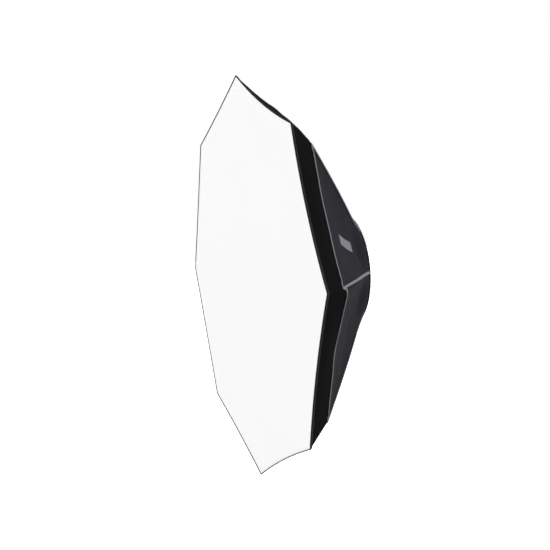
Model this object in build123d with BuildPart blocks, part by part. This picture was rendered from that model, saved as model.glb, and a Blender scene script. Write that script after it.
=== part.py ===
from build123d import *
import os
from math import atan2, cos, degrees, radians, sin

# Shallow octagonal studio softbox on a bayonet adapter, in millimetres.
# The optical axis is Y. The adapter's rear face is at the origin, the light leaves towards -Y,
# +Z is up and one corner points up. A place is given as (r, d): r is its distance from the
# axis, and d is its distance in front of the adapter's rear face.

# ---- driving dimensions ------------------------------------------------------------------
SIDES = 8

# Outline of the cloth at a front corner, the band's width along each of its two directions,
# and how far the front stands before the rear hem
FRONT_R = 280.0
FRONT_DEPTH = 146.0
BAND_OUT = 34.0
BAND_FORWARD = 33.0
HEM_D = 6.0

# Cloth
CLOTH = 0.8
LINING = 0.4
CLOTH_GAP = 0.3
SEWN_GAP = 0.14

# Bayonet adapter: a flange with lugs, and the neck that the ring turns on
BORE_R = 46.5
NECK_WALL = 5.5
FLANGE_OUT = 9.0
FLANGE_THICK = 3.0
LUG_COUNT = 3
LUG_OUT = 5.0
LUG_WIDTH = 16.0
LUG_THICK = 2.4
RETAINER_OUT = 6.0
RETAINER_THICK = 3.0
WASHER_INSET = 1.0
WASHER_THICK = 0.8
SCREW_COUNT = 6
SCREW_R = 1.25
SCREW_HEAD_R = 2.3
SCREW_LENGTH = 10.0

# Turning ring
RING_THICK = 16.2
RUN_CLEARANCE = 0.05
FACE_CLEARANCE = 0.2
RIM_CHAMFER = 0.6

# Hinges of the rods: the pin stands HINGE_OUT from the neck and HINGE_FORWARD from the ring's
# rear face, in a slot that is open to the front and outwards
HINGE_OUT = 12.5
HINGE_FORWARD = 9.7
RIM_BEYOND_PIN = 5.9
PIN_R = 1.5
PIN_CHEEK = 5.0
EYE_WALL = 2.5
SLOT_WIDTH = 7.0
SLOT_SIDE_GAP = 0.3
SLOT_FLOOR_GAP = 1.7
SLOT_INNER_GAP = 2.1

# Rods, their feet and tips
ROD_R = 2.0
ROD_BOW = 5.0
FOOT_REACH = 26.0
SOCKET_WALL = 1.8
SOCKET_DEPTH = 14.0
PUSH_FIT = 0.03
CAP_FIT = 0.12
TIP_BACK = 20.0
POCKET_OFF_BAND = 2.1
CAP_WALL = 1.6
CAP_LENGTH = 11.0
CAP_END = 3.0
POCKET_WALL = 1.2
POCKET_LENGTH = 13.0

# Bindings sewn over the seams
RIB_WIDTH = 5.5
RIB_THICK = 1.2
RIB_START_GAP = 2.0
RIB_END_GAP = 6.0
SEAM_BINDING_WIDTH = 4.5
SEAM_BINDING_THICK = 1.5
EDGE_BINDING_WIDTH = 3.2
EDGE_BINDING_THICK = 1.2
CUFF_WIDTH = 7.0
CUFF_THICK = 2.8

# Inner baffle behind the seam, hung between the rods on straps with a free span
BAFFLE_BEHIND_SEAM = 24.0
STRAP_SPAN = 28.0
STRAP_WIDTH = 10.0
STRAP_THICK = 1.0
STRAP_LAP = 12.0
SNAP_R = 5.0
SNAP_THICK = 2.0

# ---- derived places ----------------------------------------------------------------------
STEP = 360.0 / SIDES
HALF = radians(STEP / 2)
FORWARD = Vector(0, -1, 0)

NECK_R = BORE_R + NECK_WALL
FLANGE_R = NECK_R + FLANGE_OUT
WASHER_R = FLANGE_R - WASHER_INSET
RETAINER_R = NECK_R + RETAINER_OUT
SCREW_CIRCLE_R = (BORE_R + NECK_R) / 2
RING_D = FLANGE_THICK + WASHER_THICK
NECK_D = RING_D + RING_THICK + FACE_CLEARANCE

EYE_R = PIN_R + EYE_WALL
HINGE_R = NECK_R + HINGE_OUT
HINGE_D = RING_D + HINGE_FORWARD
RING_R = HINGE_R + RIM_BEYOND_PIN
SLOT_INNER_R = HINGE_R - EYE_R - SLOT_INNER_GAP
SLOT_FLOOR_D = HINGE_D - EYE_R - SLOT_FLOOR_GAP

# The hem's flat sides lie just off the ring, so its corners stand further out
HEM_R = (RING_R + CLOTH_GAP) / cos(HALF)
FRONT_D = HEM_D + FRONT_DEPTH
SEAM_R = FRONT_R - BAND_OUT
SEAM_D = FRONT_D - BAND_FORWARD
HEM = (HEM_R, HEM_D)
SEAM = (SEAM_R, SEAM_D)
FRONT = (FRONT_R, FRONT_D)
BAFFLE_D = SEAM_D - BAFFLE_BEHIND_SEAM

SOCKET_R = ROD_R + SOCKET_WALL
CAP_R = ROD_R + CAP_WALL
TIP_IN = CAP_R + CLOTH_GAP + POCKET_WALL + POCKET_OFF_BAND


def face_plane(d):
    """Plane square to the axis at depth d; its x is +X, its y is +Z and it faces the front."""
    return Plane(origin=FORWARD * d, x_dir=(1, 0, 0), z_dir=FORWARD)


def rod_plane(number):
    """Plane through the axis and a corner; its x is r and its y is d."""
    turn = radians(90 + STEP * number)
    out = Vector(cos(turn), 0, sin(turn))
    return Plane(origin=(0, 0, 0), x_dir=out, z_dir=out.cross(FORWARD))


def cloth_bay(number, rear, front):
    """Plane and corners of the flat trapezium of cloth between two corners, and the share of
    its normal that lies along the axis. Rear and front are its corners' (r, d)."""
    turn = radians(90 + STEP * (number + 0.5))
    out = Vector(cos(turn), 0, sin(turn))
    origin = out * (rear[0] * cos(HALF)) + FORWARD * rear[1]
    slope = out * ((front[0] - rear[0]) * cos(HALF)) + FORWARD * (front[1] - rear[1])
    across = out.cross(FORWARD)
    plane = Plane(origin=origin, x_dir=across, z_dir=across.cross(slope))
    low = rear[0] * sin(HALF)
    high = front[0] * sin(HALF)
    corners = [(-low, 0), (low, 0), (high, slope.length), (-high, slope.length)]
    return plane, corners, out.dot(slope) / slope.length


def shell_r(d):
    """Corner radius of the rear cloth's outer face at depth d."""
    return HEM_R + (SEAM_R - HEM_R) * (d - HEM_D) / (SEAM_D - HEM_D)


_, _, SHELL_SHARE = cloth_bay(0, HEM, SEAM)
_, _, BAND_SHARE = cloth_bay(0, SEAM, FRONT)
DIFFUSER_D = FRONT_D + CLOTH / BAND_SHARE + SEWN_GAP
EDGE_D = DIFFUSER_D + CLOTH

# The straps reach the lining at their own depth, and the baffle's corners stop short of it
STRAP_D = BAFFLE_D + CLOTH
LINING_R = shell_r(STRAP_D - (CLOTH + LINING) / SHELL_SHARE) * cos(HALF)
BAFFLE_R = LINING_R - STRAP_SPAN
STRAP_IN = BAFFLE_R - STRAP_LAP

os.makedirs("parts", exist_ok=True)


def write(piece, name):
    """Labels a finished piece and writes it as its own file."""
    piece.label = name
    export_step(piece, f"parts/{name}.step")


# ---- bayonet adapter ---------------------------------------------------------------------
# A flange with three bayonet lugs, and the neck that the ring turns on.
with BuildPart() as bayonet_adapter:
    with BuildSketch(face_plane(0)):
        Circle(FLANGE_R)
        Circle(BORE_R, mode=Mode.SUBTRACT)
    extrude(amount=FLANGE_THICK)
    with BuildSketch(face_plane(FLANGE_THICK)):
        Circle(NECK_R)
        Circle(BORE_R, mode=Mode.SUBTRACT)
    extrude(amount=NECK_D - FLANGE_THICK)
    with BuildSketch(face_plane(0)):
        with PolarLocations(FLANGE_R, LUG_COUNT, start_angle=90):
            Rectangle(2 * LUG_OUT, LUG_WIDTH)
        Circle(NECK_R, mode=Mode.SUBTRACT)
    extrude(amount=LUG_THICK)
    with BuildSketch(face_plane(NECK_D)):
        with PolarLocations(SCREW_CIRCLE_R, SCREW_COUNT, start_angle=STEP / 2):
            Circle(SCREW_R)
    extrude(amount=RETAINER_THICK - SCREW_LENGTH, mode=Mode.SUBTRACT)
write(bayonet_adapter.part, "bayonet_adapter")

# Felt washer that gives the turning ring its drag
with BuildPart() as friction_washer:
    with BuildSketch(face_plane(FLANGE_THICK)):
        Circle(WASHER_R)
        Circle(NECK_R + CLOTH_GAP, mode=Mode.SUBTRACT)
    extrude(amount=WASHER_THICK)
write(friction_washer.part, "friction_washer")

# Retaining ring, screwed to the neck, that keeps the turning ring on
with BuildPart() as retaining_ring:
    with BuildSketch(face_plane(NECK_D)):
        Circle(RETAINER_R)
        Circle(BORE_R, mode=Mode.SUBTRACT)
    extrude(amount=RETAINER_THICK)
    outer_rim = retaining_ring.edges().filter_by(GeomType.CIRCLE).sort_by(SortBy.RADIUS)[-2:]
    chamfer(outer_rim, RIM_CHAMFER)
    with Locations(face_plane(NECK_D + RETAINER_THICK)):
        with PolarLocations(SCREW_CIRCLE_R, SCREW_COUNT, start_angle=STEP / 2):
            CounterSinkHole(SCREW_R, SCREW_HEAD_R)
write(retaining_ring.part, "retaining_ring")

with BuildPart() as adapter_screws:
    with BuildSketch(face_plane(NECK_D + RETAINER_THICK)):
        with PolarLocations(SCREW_CIRCLE_R, SCREW_COUNT, start_angle=STEP / 2):
            Circle(SCREW_R)
    extrude(amount=-SCREW_LENGTH)
    with BuildSketch(face_plane(NECK_D + RETAINER_THICK)):
        with PolarLocations(SCREW_CIRCLE_R, SCREW_COUNT, start_angle=STEP / 2):
            Circle(SCREW_HEAD_R)
    extrude(amount=SCREW_R - SCREW_HEAD_R, taper=45)
write(adapter_screws.part, "adapter_screws")

# ---- speed ring --------------------------------------------------------------------------
# One hinge slot for each rod, open to the front and outwards. Each pin hole is drilled in from
# the rim on one side and stops in the far cheek.
PIN_FROM = -SLOT_WIDTH / 2 - PIN_CHEEK
PIN_TO = SLOT_WIDTH / 2 + PIN_CHEEK
with BuildPart() as speed_ring:
    with BuildSketch(face_plane(RING_D)):
        Circle(RING_R)
        Circle(NECK_R + RUN_CLEARANCE, mode=Mode.SUBTRACT)
    extrude(amount=RING_THICK)
    outer_rim = speed_ring.edges().filter_by(GeomType.CIRCLE).sort_by(SortBy.RADIUS)[-2:]
    chamfer(outer_rim, RIM_CHAMFER)
    with BuildSketch(face_plane(RING_D + RING_THICK)):
        with PolarLocations(SLOT_INNER_R, SIDES, start_angle=90):
            Rectangle(RING_R, SLOT_WIDTH, align=(Align.MIN, Align.CENTER))
    extrude(amount=SLOT_FLOOR_D - RING_D - RING_THICK, mode=Mode.SUBTRACT)
    for number in range(SIDES):
        with BuildSketch(rod_plane(number).offset(PIN_FROM)):
            with Locations((HINGE_R, HINGE_D)):
                Circle(PIN_R)
        extrude(amount=RING_R - PIN_FROM, mode=Mode.SUBTRACT)
write(speed_ring.part, "speed_ring")

with BuildPart() as hinge_pins:
    for number in range(SIDES):
        with BuildSketch(rod_plane(number).offset(PIN_FROM)):
            with Locations((HINGE_R, HINGE_D)):
                Circle(PIN_R)
        extrude(amount=PIN_TO - PIN_FROM)
write(hinge_pins.part, "hinge_pins")

# ---- rods --------------------------------------------------------------------------------
# Each rod leaves its foot ROD_BOW outside the straight line from its hinge to its corner
# pocket, and bows back to it, as a sprung steel rod does under the pull of the cloth.
FOOT_WIDTH = SLOT_WIDTH - 2 * SLOT_SIDE_GAP
HINGE = Vector(HINGE_R, HINGE_D)
BAND = (Vector(*FRONT) - Vector(*SEAM)).normalized()
BAND_INWARDS = Vector(-BAND.Y, BAND.X)
ROD_END = Vector(*FRONT) - BAND * TIP_BACK + BAND_INWARDS * TIP_IN
STRAIGHT = ROD_END - HINGE
ROD_LEAN = degrees(atan2(STRAIGHT.X, STRAIGHT.Y)) + ROD_BOW
LEAN = Vector(sin(radians(ROD_LEAN)), cos(radians(ROD_LEAN)))
FOOT_END = HINGE + LEAN * FOOT_REACH
ROD_START = FOOT_END - LEAN * SOCKET_DEPTH

with BuildLine() as bow:
    bow_arc = TangentArc(FOOT_END, ROD_END, tangent=LEAN)
END_LEAN = bow_arc % 1


def turned(plane, vector):
    """A point or a direction given as (r, d) in a rod's plane, in the object's own axes."""
    return plane.x_dir * vector.X + plane.y_dir * vector.Y


def along(plane, at, direction):
    """Plane square to a direction given in a rod's plane, at a point given there."""
    return Plane(origin=turned(plane, at), x_dir=plane.z_dir, z_dir=turned(plane, direction))


for number in range(SIDES):
    plane = rod_plane(number)

    with BuildPart() as rod_foot:
        with BuildSketch(plane):
            with Locations((HINGE_R, HINGE_D)):
                Circle(EYE_R)
            with BuildLine():
                across = Vector(-LEAN.Y, LEAN.X) * SOCKET_R
                Polyline(
                    HINGE + across, HINGE - across,
                    HINGE - across + LEAN * (FOOT_REACH - SOCKET_DEPTH),
                    HINGE + across + LEAN * (FOOT_REACH - SOCKET_DEPTH), close=True,
                )
            make_face()
        extrude(amount=FOOT_WIDTH / 2, both=True)
        with BuildSketch(along(plane, ROD_START, LEAN)):
            Circle(SOCKET_R)
        extrude(amount=SOCKET_DEPTH)
        with BuildSketch(along(plane, ROD_START, LEAN)):
            Circle(ROD_R + PUSH_FIT)
        extrude(amount=SOCKET_DEPTH, mode=Mode.SUBTRACT)
        with BuildSketch(plane):
            with Locations((HINGE_R, HINGE_D)):
                Circle(PIN_R + RUN_CLEARANCE)
        extrude(amount=FOOT_WIDTH, both=True, mode=Mode.SUBTRACT)
    write(rod_foot.part, f"rod_foot_{number + 1}")

    with BuildPart() as rod:
        with BuildLine() as centre_line:
            Line(turned(plane, ROD_START), turned(plane, FOOT_END))
            TangentArc(
                turned(plane, FOOT_END), turned(plane, ROD_END), tangent=turned(plane, LEAN)
            )
        with BuildSketch(along(plane, ROD_START, LEAN)):
            Circle(ROD_R)
        sweep(path=centre_line.wire())
    write(rod.part, f"rod_{number + 1}")

    cap_end = ROD_END + END_LEAN * CAP_END
    with BuildPart() as tip_cap:
        with BuildSketch(along(plane, cap_end, END_LEAN * -1)):
            Circle(CAP_R)
        extrude(amount=CAP_LENGTH)
        with BuildSketch(along(plane, ROD_END, END_LEAN * -1)):
            Circle(ROD_R + CAP_FIT)
        extrude(amount=CAP_LENGTH, mode=Mode.SUBTRACT)
        end_rim = tip_cap.edges().filter_by(GeomType.CIRCLE).sort_by(SortBy.RADIUS)[-2:]
        fillet(end_rim, RIM_CHAMFER)
    write(tip_cap.part, f"tip_cap_{number + 1}")

# Sewn cups inside the front corners that take the rods' tips
with BuildPart() as corner_pockets:
    for number in range(SIDES):
        cup_end = ROD_END + END_LEAN * (CAP_END + CLOTH_GAP + POCKET_WALL)
        with BuildSketch(along(rod_plane(number), cup_end, END_LEAN * -1)):
            Circle(CAP_R + CLOTH_GAP + POCKET_WALL)
        extrude(amount=POCKET_LENGTH)
    for number in range(SIDES):
        cup_floor = ROD_END + END_LEAN * (CAP_END + CLOTH_GAP)
        with BuildSketch(along(rod_plane(number), cup_floor, END_LEAN * -1)):
            Circle(CAP_R + CLOTH_GAP)
        extrude(amount=POCKET_LENGTH, mode=Mode.SUBTRACT)
write(corner_pockets.part, "corner_pockets")

# ---- cloth -------------------------------------------------------------------------------
# Every bay of cloth is a flat trapezium, made thick along the axis so that neighbours meet
# face to face in the planes of the corners.
for number in range(SIDES):
    plane, corners, share = cloth_bay(number, HEM, SEAM)
    with BuildPart() as shell_panel:
        with BuildSketch(plane):
            with BuildLine():
                Polyline(*corners, close=True)
            make_face()
        extrude(amount=CLOTH / share, dir=FORWARD)
    write(shell_panel.part, f"shell_panel_{number + 1}")

    plane, corners, share = cloth_bay(number, SEAM, FRONT)
    with BuildPart() as front_band:
        with BuildSketch(plane):
            with BuildLine():
                Polyline(*corners, close=True)
            make_face()
        extrude(amount=CLOTH / share, dir=FORWARD)
    write(front_band.part, f"front_band_{number + 1}")

with BuildPart() as silver_lining:
    for number in range(SIDES):
        plane, corners, share = cloth_bay(number, HEM, SEAM)
        backing = Plane(
            origin=plane.origin + FORWARD * (CLOTH / share), x_dir=plane.x_dir, z_dir=plane.z_dir
        )
        with BuildSketch(backing):
            with BuildLine():
                Polyline(*corners, close=True)
            make_face()
        extrude(amount=LINING / share, dir=FORWARD)
write(silver_lining.part, "silver_lining")

# Front diffuser and the binding around its edge
with BuildPart() as front_diffuser:
    with BuildSketch(face_plane(DIFFUSER_D)):
        RegularPolygon(FRONT_R, SIDES)
    extrude(amount=CLOTH)
write(front_diffuser.part, "front_diffuser")

with BuildPart() as edge_binding:
    with BuildSketch(face_plane(EDGE_D)):
        RegularPolygon(FRONT_R, SIDES)
        RegularPolygon(FRONT_R - EDGE_BINDING_WIDTH, SIDES, mode=Mode.SUBTRACT)
    extrude(amount=EDGE_BINDING_THICK)
write(edge_binding.part, "edge_binding")

# Binding around the seam between the rear cloth and the front band
with BuildPart() as seam_binding:
    with BuildSketch(face_plane(SEAM_D)):
        RegularPolygon(SEAM_R + SEAM_BINDING_THICK, SIDES)
        RegularPolygon(SEAM_R, SIDES, mode=Mode.SUBTRACT)
    extrude(amount=-SEAM_BINDING_WIDTH)
write(seam_binding.part, "seam_binding")

# Binding over each seam that a rod lies under
RIB = (Vector(*SEAM) - Vector(*HEM)).normalized()
RIB_OUTWARDS = Vector(RIB.Y, -RIB.X)
RIB_LENGTH = (Vector(*SEAM) - Vector(*HEM)).length - RIB_START_GAP - RIB_END_GAP
with BuildPart() as rib_binding:
    for number in range(SIDES):
        rib_start = Vector(*HEM) + RIB * RIB_START_GAP + RIB_OUTWARDS * (RIB_THICK / 2)
        with BuildSketch(along(rod_plane(number), rib_start, RIB)):
            Rectangle(RIB_WIDTH, RIB_THICK)
        extrude(amount=RIB_LENGTH)
write(rib_binding.part, "rib_binding")

# Cuff that finishes the hem around the ring
with BuildPart() as rear_cuff:
    with BuildSketch(face_plane(HEM_D)):
        Circle(RING_R + CUFF_WIDTH)
        Circle(RING_R, mode=Mode.SUBTRACT)
    extrude(amount=-CUFF_THICK)
write(rear_cuff.part, "rear_cuff")

# ---- inner baffle ------------------------------------------------------------------------
# Its corners are between the rods, each hung on a strap sewn to the lining.
with BuildPart() as inner_baffle:
    with BuildSketch(face_plane(BAFFLE_D)):
        RegularPolygon(BAFFLE_R, SIDES, rotation=STEP / 2)
    extrude(amount=CLOTH)
write(inner_baffle.part, "inner_baffle")

with BuildPart() as baffle_straps:
    with BuildSketch(face_plane(STRAP_D)):
        with PolarLocations((STRAP_IN + LINING_R) / 2, SIDES, start_angle=STEP / 2):
            Rectangle(LINING_R - STRAP_IN, STRAP_WIDTH)
    extrude(amount=STRAP_THICK)
write(baffle_straps.part, "baffle_straps")

with BuildPart() as strap_snaps:
    with BuildSketch(face_plane(STRAP_D + STRAP_THICK)):
        with PolarLocations(STRAP_IN + STRAP_LAP / 2, SIDES, start_angle=STEP / 2):
            Circle(SNAP_R)
    extrude(amount=SNAP_THICK)
write(strap_snaps.part, "strap_snaps")
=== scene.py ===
# %% [markdown]
# # A shallow octagonal softbox
#
# The frame, the rods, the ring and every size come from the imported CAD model. This lesson adds
# what a CAD model leaves out: cloth that sags between the rods, tapes, stitches and finishes.
# The optical axis is Y, the light leaves towards -Y, and one corner of the octagon points up.

# %% Load the frame
import math

import bpy
import numpy as np
from mathutils import Matrix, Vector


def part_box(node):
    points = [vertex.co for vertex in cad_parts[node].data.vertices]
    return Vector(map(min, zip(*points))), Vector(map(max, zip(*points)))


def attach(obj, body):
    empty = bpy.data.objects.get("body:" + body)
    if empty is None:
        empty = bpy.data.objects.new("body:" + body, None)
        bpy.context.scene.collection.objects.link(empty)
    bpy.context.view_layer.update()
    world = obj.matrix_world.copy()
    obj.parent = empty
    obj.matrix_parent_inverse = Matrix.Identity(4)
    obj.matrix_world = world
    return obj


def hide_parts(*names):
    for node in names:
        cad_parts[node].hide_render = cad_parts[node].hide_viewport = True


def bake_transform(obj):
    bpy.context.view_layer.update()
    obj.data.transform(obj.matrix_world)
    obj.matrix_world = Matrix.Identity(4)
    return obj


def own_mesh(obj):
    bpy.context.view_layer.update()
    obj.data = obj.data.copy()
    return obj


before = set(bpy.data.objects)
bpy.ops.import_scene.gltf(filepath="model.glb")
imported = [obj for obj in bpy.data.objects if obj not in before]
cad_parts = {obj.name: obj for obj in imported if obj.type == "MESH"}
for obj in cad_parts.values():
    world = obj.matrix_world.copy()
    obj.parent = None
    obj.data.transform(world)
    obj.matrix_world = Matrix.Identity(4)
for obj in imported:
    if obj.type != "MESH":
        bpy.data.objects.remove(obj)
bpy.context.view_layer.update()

# %% [markdown]
# ## Sizes
#
# Every measure of the cloth is read from the CAD boxes, so the cloth always meets the rods.
# A place is given as r, its distance from the axis, and d, its depth in front of the adapter.
# Each of the eight rods carries one gore: the cloth from the middle of one bay, over the rod,
# to the middle of the next bay. The real panels are cut from rod to rod, but cloth that rides
# on a folding rod has to be one piece with it, and the joins in the middle of a bay don't show.

# %% Sizes read from the frame
MM = 0.001
SIDES = 8
STEP = 2 * math.pi / SIDES
HALF = STEP / 2
GORES = range(1, SIDES + 1)


def depth_range(node):
    """Least and greatest depth of a node: depth is -y."""
    low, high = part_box(node)
    return -high[1], -low[1]


front_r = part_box("front_diffuser")[1][0]
front_d = depth_range("front_diffuser")[0]
seam_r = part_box("silver_lining")[1][0]
seam_d = depth_range("front_band_1")[0]
hem_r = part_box("shell_panel_1")[0][2] / math.cos(STEP)
hem_d = depth_range("shell_panel_1")[0]
ring_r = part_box("speed_ring")[1][0]
baffle_d = depth_range("inner_baffle")[0]
baffle_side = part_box("inner_baffle")[1][0]
print(f"front {front_r:.4f} at {front_d:.4f}, seam {seam_r:.4f} at {seam_d:.4f}")
print(f"hem {hem_r:.4f} at {hem_d:.4f}, baffle {baffle_side:.4f} at {baffle_d:.4f}")

# %% [markdown]
# ## The camera
#
# The object is seen from its right side, a little from the front, by a moderately long lens
# held slightly rolled. The camera is placed from the middle of the front, and looks along a
# direction rather than at a point, so the object keeps its place in the picture.

# %% Camera
CAMERA_FROM_FRONT = np.array([1.284, -0.423, 0.117])
CAMERA_LOOK = np.array([-0.9376, 0.3373, -0.0844])
CAMERA_UP = np.array([-0.0585, 0.0861, 0.9946])
LENS = 63.5
SENSOR = 36.0


def unit(vectors):
    """Vectors divided by their lengths."""
    return vectors / np.linalg.norm(vectors, axis=-1, keepdims=True)


def make_camera():
    """A camera whose axes are the look direction, the up direction and their cross product."""
    look = unit(CAMERA_LOOK)
    right = unit(np.cross(look, CAMERA_UP))
    up = np.cross(right, look)
    place = CAMERA_FROM_FRONT + np.array([0, -front_d, 0])
    matrix = np.eye(4)
    matrix[:3, 0], matrix[:3, 1], matrix[:3, 2], matrix[:3, 3] = right, up, -look, place
    data = bpy.data.cameras.new("camera")
    data.lens = LENS
    data.sensor_width = SENSOR
    data.dof.use_dof = False
    camera = bpy.data.objects.new("camera", data)
    bpy.context.collection.objects.link(camera)
    camera.matrix_world = Matrix(matrix.tolist())
    bpy.context.scene.camera = camera
    return camera


camera = make_camera()
print("camera at", [round(x, 3) for x in camera.matrix_world.translation])

# %% [markdown]
# ## Surfaces from grids
#
# Each new piece is a surface: an array of points with one row for each step along it and one
# column for each step across it. A sheet of cloth is such a grid twice, once as its outer face
# and once moved in by the cloth's thickness, with a rim between them whose edges are sharp, so
# that two sheets that meet edge to edge shade as one. UVs are in metres, which keeps a weave at
# its real thread size.

# %% Grids to meshes
def new_piece(name, points, faces, uv, finish):
    """Object with a smooth mesh of the points and faces, a UV for each point and a finish."""
    mesh = bpy.data.meshes.new(name)
    mesh.from_pydata(points.tolist(), [], faces)
    layer = mesh.uv_layers.new(name="cloth")
    corners = np.empty(len(mesh.loops), np.int32)
    mesh.loops.foreach_get("vertex_index", corners)
    layer.data.foreach_set("uv", uv[corners].astype(np.float32).ravel())
    mesh.polygons.foreach_set("use_smooth", np.ones(len(mesh.polygons), bool))
    mesh.materials.append(finish)
    mesh.update()
    piece = bpy.data.objects.new(name, mesh)
    bpy.context.collection.objects.link(piece)
    return piece


def mark_sharp(mesh, loops):
    """Marks the edges that run along closed loops of vertex numbers as sharp."""
    ends = np.empty(2 * len(mesh.edges), np.int32)
    mesh.edges.foreach_get("vertices", ends)
    ends = np.sort(ends.reshape(-1, 2), axis=1)
    wanted = np.concatenate([np.stack([loop, np.roll(loop, -1)], -1) for loop in loops])
    wanted = np.sort(wanted, axis=1)
    count = len(mesh.vertices)
    sharp = np.isin(ends[:, 0] * count + ends[:, 1], wanted[:, 0] * count + wanted[:, 1])
    mesh.attributes.new("sharp_edge", "BOOLEAN", "EDGE").data.foreach_set("value", sharp)


def grid_uv(points):
    """UV in metres: the distance walked across from the middle, and the mean one along."""
    across = np.linalg.norm(np.diff(points, axis=1), axis=-1)
    along = np.linalg.norm(np.diff(points, axis=0), axis=-1).mean(1)
    u = np.concatenate([np.zeros((len(points), 1)), np.cumsum(across, 1)], 1)
    v = np.concatenate([[0.0], np.cumsum(along)])
    return np.stack([u - u[:, -1:] / 2, np.broadcast_to(v[:, None], u.shape)], -1)


def grid_normals(points, pole=False):
    """Unit normals of a grid: across times along. A pole takes the next row's mean normal."""
    across = np.gradient(points, axis=1)
    along = np.gradient(points, axis=0)
    if pole:
        across[0] = across[1]
    normals = unit(np.cross(across, along))
    if pole:
        normals[0] = unit(normals[1].mean(0))
    return normals


def make_sheet(name, points, thickness, finish, pole=False, flip=False):
    """Closed sheet of cloth. Its outer face is the grid of points (rows, columns, 3), seen
    from the side that across times along points to, or with flip from the other side. With
    pole, row 0 is one point and triangles fan out from it."""
    rows, cols = points.shape[:2]
    number = np.arange(rows * cols).reshape(rows, cols)
    spare = cols - 1 if pole else 0
    number = np.maximum(number - spare, 0)
    quads = np.stack([number[:-1, :-1], number[:-1, 1:], number[1:, 1:], number[1:, :-1]], -1)
    fan = quads[0][:, [0, 2, 3]] if pole else np.empty((0, 3), int)
    quads = quads[1:].reshape(-1, 4) if pole else quads.reshape(-1, 4)
    first = number[0, :1] if pole else number[0, :-1]
    last = number[1:-1, -1] if pole else number[:-1, -1]
    border = np.concatenate([first, last, number[-1, :0:-1], number[:0:-1, 0]])
    side = -1.0 if flip else 1.0
    outer = points.reshape(-1, 3)[spare:]
    inner = outer - side * thickness * grid_normals(points, pole).reshape(-1, 3)[spare:]
    count = len(outer)
    after = np.roll(border, -1)
    rim = np.stack([border, border + count, after + count, after], -1)
    turn = slice(None, None, -1) if flip else slice(None)
    back = slice(None) if flip else slice(None, None, -1)
    faces = quads[:, turn].tolist() + fan[:, turn].tolist() + rim[:, turn].tolist()
    faces += (quads + count)[:, back].tolist() + (fan + count)[:, back].tolist()
    uv = grid_uv(points).reshape(-1, 2)[spare:]
    piece = new_piece(name, np.concatenate([outer, inner]), faces, np.tile(uv, (2, 1)), finish)
    mark_sharp(piece.data, [border, border + count])
    return piece


# %% [markdown]
# ## Places on the octagon
#
# A gore's own coordinates are u, from -1 in the middle of the bay on one side, over the rod at
# 0, to 1 in the middle of the next bay, and v along the gore from the back to the front. The
# straight line between two corners is the tight edge of the cloth. Real cloth pulls in between
# its corners in a shallow parabola, which is level in the middle of the bay, so neighbouring
# gores meet without a crease. How far an edge is pulled in differs from bay to bay, as some
# seams are sewn tighter than others, and in one slack bay the seam stands out instead. The
# tables below are in millimetres, and bay k lies between rods k and k + 1.

# %% Points on a gore
EDGE_PULL = {1: 1.5, 2: 1.0, 3: 1.0, 4: 2.0, 5: 4.0, 6: 6.0, 7: 8.0, 8: 6.5}
SEAM_PULL = {1: 2.0, 2: 2.0, 3: 2.0, 4: 2.0, 5: 3.0, 6: 3.5, 7: 5.0, 8: -5.0}
SHARE_OFF = math.sin(HALF) * math.cos(HALF)


def turn_of(gore):
    """Angle of a gore's rod round the axis: rod 1 points up."""
    return math.pi / 2 + STEP * (gore - 1)


def spot(turn, r, d, t=0.0):
    """Point at radius r, depth d and sideways distance t, for a rod at angle turn."""
    r, d, t = np.broadcast_arrays(r, d, t)
    x = math.cos(turn) * r - math.sin(turn) * t
    z = math.sin(turn) * r + math.cos(turn) * t
    return np.stack([x, -d, z], -1)


def bay_bow(u):
    """0 on the rod and 1 in the middle of the bay: |u| (2 - |u|)."""
    return np.abs(u) * (2 - np.abs(u))


def bay_values(gore, u, by_bay):
    """Each point's value in metres from a table of millimetres by bay."""
    before = (gore - 2) % SIDES + 1
    return np.where(u < 0, by_bay[before], by_bay[gore]) * MM


def chord(gore, u, r, d, pull=0.0):
    """Point on the octagon's side of corner radius r, at depth d.

    Along a side, radius falls as r (1 - |u| sin2(half)) and t grows as r u sin(half)
    cos(half). The point then moves towards the axis by pull times the bow, along the middle
    of its bay."""
    u, r, d, pull = np.broadcast_arrays(u, r, d, pull)
    side = np.where(u < 0, -1.0, 1.0)
    near = r * (1 - np.abs(u) * math.sin(HALF) ** 2)
    off = r * u * SHARE_OFF
    inwards = pull * bay_bow(u)
    near = near - inwards * math.cos(HALF)
    off = off - inwards * side * math.sin(HALF)
    return spot(turn_of(gore), near, d, off)


def ripples(points, seed, pitch, height):
    """Gentle unevenness: the mean of seven sine waves with seeded directions, each about one
    pitch long. It depends only on the place, so neighbouring pieces agree."""
    draw = np.random.default_rng(seed)
    waves = unit(draw.normal(size=(7, 3))) * (2 * math.pi / pitch) * draw.uniform(0.6, 1.5, (7, 1))
    phase = draw.uniform(0, 2 * math.pi, 7)
    return height * np.sin(points @ waves.T + phase).sum(-1) / 3


# %% [markdown]
# ## Gores that can fold
#
# When the rods fold forward, the softbox closes to a tube a quarter as wide, and the cloth
# between two rods tucks in as a pleat. So each gore is made of three parts. The strip over the
# rod is about as wide as the closed tube's side and keeps its width. The part on each side of
# it fills the bay from the strip's edge to its middle. On the open softbox the three lie edge to
# edge. OPEN_R is the corner radius where the side parts begin, and the strip's half width
# follows the closed tube, which is a little wider at the seam than at the ring.

# %% Parts of a gore
OPEN_R = hem_r + 6.5 * MM
STRIP_TAPER = 0.016
PARTS = {"": 0, "_left": -1, "_right": 1}


def strip_half(r):
    """Half the strip's width at corner radius r; it doesn't widen beyond the seam."""
    return OPEN_R * SHARE_OFF + STRIP_TAPER * (np.minimum(r, seam_r) - OPEN_R)


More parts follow.
